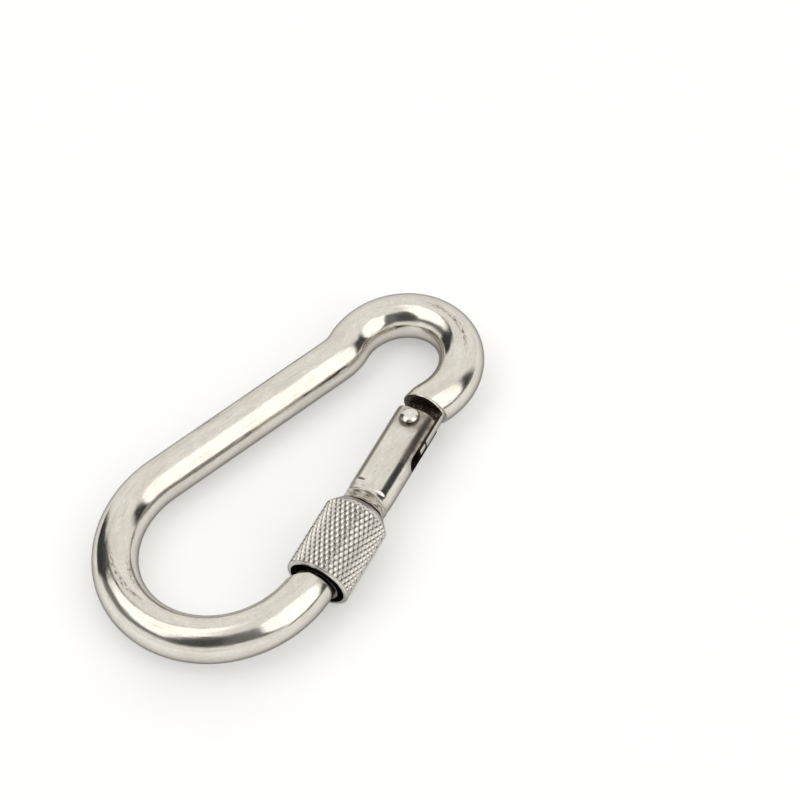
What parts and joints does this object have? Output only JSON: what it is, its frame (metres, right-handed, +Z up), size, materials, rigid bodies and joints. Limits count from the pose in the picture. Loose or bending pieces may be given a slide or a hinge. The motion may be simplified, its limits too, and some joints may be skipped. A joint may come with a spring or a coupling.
{
  "type": "carabiner",
  "caption": "Pear-shaped screw-lock carabiner of round steel bar, with a sprung slotted gate on a riveted tongue hinge and a knurled lock nut.",
  "frame": {"origin": "on the ground, under the middle of the box around the whole carabiner", "axes": "+Z up from the ground that the carabiner lies on, +Y along its length towards the small bow and the hinge, +X towards the gate"},
  "size_m": [0.0594, 0.1032, 0.0148],
  "materials": {
    "steel_bar": "tumbled stainless steel, satin with fine lengthwise scratches",
    "steel_rivet": "smooth turned stainless steel, bright",
    "steel_nut": "knurled stainless steel, matt on the knurl, smooth on the chamfer",
    "spring_wire": "drawn spring wire, dull"
  },
  "bodies": {
    "frame": {"frame": "steel_bar"},
    "gate": {"gate": "steel_bar", "hinge_rivet": "steel_rivet", "return_spring": "spring_wire"},
    "plunger": {"plunger": "steel_bar"},
    "lock_nut": {"lock_nut": "steel_nut"}
  },
  "joints": [
    {"name": "gate_hinge", "type": "hinge", "parent": "frame", "child": "gate", "pos_m": [0.02183, 0.01886, 0.00667], "axis": [0.0543, -0.0224, -0.9983], "range_deg": [0, 30], "stiffness_Nm_per_rad": 0.03, "springref_deg": -34.38},
    {"name": "nut_slide", "type": "slide", "parent": "gate", "child": "lock_nut", "axis": [-0.0006, -0.9997, 0.0224], "range_m": [-0.0033, 0.0036]},
    {"name": "plunger_slide", "type": "slide", "parent": "gate", "child": "plunger", "axis": [-0.0006, -0.9997, 0.0224], "range_m": [0, 0.0018], "deforming": ["return_spring"]}
  ],
  "couplings": [
    {"joint": "plunger_slide", "follows": "gate_hinge", "m_per_rad": 0.0032}
  ]
}
